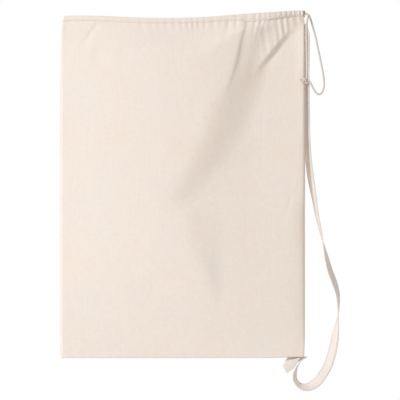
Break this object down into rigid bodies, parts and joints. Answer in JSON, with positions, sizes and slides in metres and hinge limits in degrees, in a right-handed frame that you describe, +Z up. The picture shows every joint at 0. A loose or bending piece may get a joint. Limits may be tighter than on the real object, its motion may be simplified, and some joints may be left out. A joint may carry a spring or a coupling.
{
  "type": "laundry bag",
  "caption": "Flat cotton laundry bag with a drawcord round its mouth and a long shoulder strap, hanging empty from its top edge.",
  "frame": {"origin": "middle of the mouth at the top hem, on the line that the bag hangs from", "axes": "+Z up, -Y out of the bag's front, +X towards the corner where the drawcord comes out and the strap hangs"},
  "size_m": [0.5812, 0.0494, 0.7877],
  "materials": {
    "canvas": "natural unbleached plain-weave cotton, matt",
    "strap_tape": "folded cotton tape, matt",
    "thread": "polyester-cotton sewing thread",
    "cord": "round braided cotton cord"
  },
  "bodies": {
    "bag": {"front_panel": "canvas", "back_panel": "canvas", "front_casing": "canvas", "back_casing": "canvas", "corner_casing": "canvas", "left_casing_end": "canvas", "bottom_seam": "canvas", "left_side_seam": "canvas", "right_side_seam": "canvas", "strap_tail": "strap_tape", "strap_upper_end": "strap_tape", "front_hem_thread": "thread", "back_hem_thread": "thread", "left_overlock_thread": "thread", "right_overlock_thread": "thread", "bottom_overlock_thread": "thread", "strap_upper_tack": "thread", "strap_lower_tack": "thread", "drawcord_front_run": "cord", "drawcord_back_run": "cord", "drawcord_left_turn": "cord"},
    "strap": {"strap": "strap_tape", "strap_outer_thread": "thread", "strap_inner_thread": "thread"},
    "cord_feed": {"drawcord_front_stub": "cord", "drawcord_back_stub": "cord"},
    "cord_end": {"drawcord_long_leg": "cord", "drawcord_short_leg": "cord", "drawcord_knot": "cord"}
  },
  "joints": [
    {"name": "strap_swing", "type": "hinge", "parent": "bag", "child": "strap", "pos_m": [0.254, 0.005, -0.38], "axis": [0, 0, 1], "range_deg": [-45, 75]},
    {"name": "drawcord_pull", "type": "slide", "parent": "bag", "child": "cord_feed", "axis": [1, 0, 0], "range_m": [0, 0.06]},
    {"name": "cord_swing", "type": "hinge", "parent": "cord_feed", "child": "cord_end", "pos_m": [0.256, -0.0002, 0.0045], "axis": [1, 0, 0], "range_deg": [-80, 0]}
  ]
}
